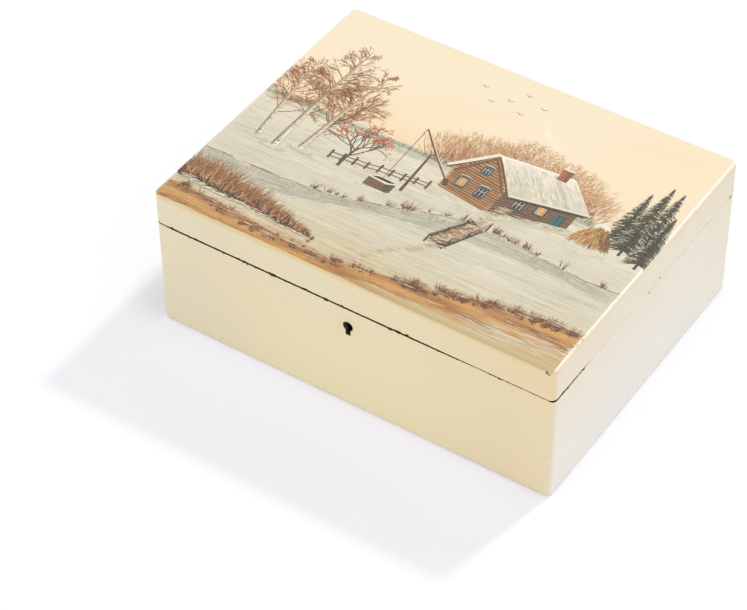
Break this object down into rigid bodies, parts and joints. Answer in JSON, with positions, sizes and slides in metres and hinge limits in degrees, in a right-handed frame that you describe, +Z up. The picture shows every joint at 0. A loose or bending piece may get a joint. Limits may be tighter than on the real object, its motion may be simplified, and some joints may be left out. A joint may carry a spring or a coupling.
{
  "type": "lacquer box",
  "caption": "Rectangular papier-mache casket in cream lacquer with a painted, hinged lid, a front keyhole and a small box lock.",
  "frame": {"origin": "middle of the underside, on the surface that the box stands on", "axes": "+X along the front from left to right, -Y towards the front with the keyhole, +Z up"},
  "size_m": [0.22, 0.169, 0.082],
  "materials": {
    "cream_lacquer": "gloss",
    "painted_lacquer": "gloss",
    "lip_lacquer": "satin",
    "brass": "satin",
    "steel": "satin"
  },
  "bodies": {
    "box": {"body_walls": "cream_lacquer", "base_plate": "cream_lacquer", "lip_front_left": "lip_lacquer", "lip_front_right": "lip_lacquer", "lip_left": "lip_lacquer", "lip_right": "lip_lacquer", "lip_back": "lip_lacquer", "lock_plate": "brass", "lock_case": "brass", "case_rivets": "brass", "key_post": "steel", "bolt_studs": "steel", "bolt_spring": "steel", "lock_nails": "brass", "hinge_left_body_leaf": "brass", "hinge_right_body_leaf": "brass", "hinge_left_pin": "steel", "hinge_right_pin": "steel", "hinge_body_nails": "brass"},
    "lid": {"lid_plate": "painted_lacquer", "lid_rim": "cream_lacquer", "strike_plate": "brass", "strike_nails": "brass", "hinge_left_lid_leaf": "brass", "hinge_right_lid_leaf": "brass", "hinge_lid_nails": "brass"},
    "bolt": {"lock_bolt": "steel"}
  },
  "joints": [
    {"name": "lid_hinge", "type": "hinge", "parent": "box", "child": "lid", "pos_m": [0, 0.083, 0.06255], "axis": [-1, 0, 0], "range_deg": [0, 100]},
    {"name": "bolt_slide", "type": "slide", "parent": "box", "child": "bolt", "axis": [1, 0, 0], "range_m": [0, 0.003]}
  ]
}
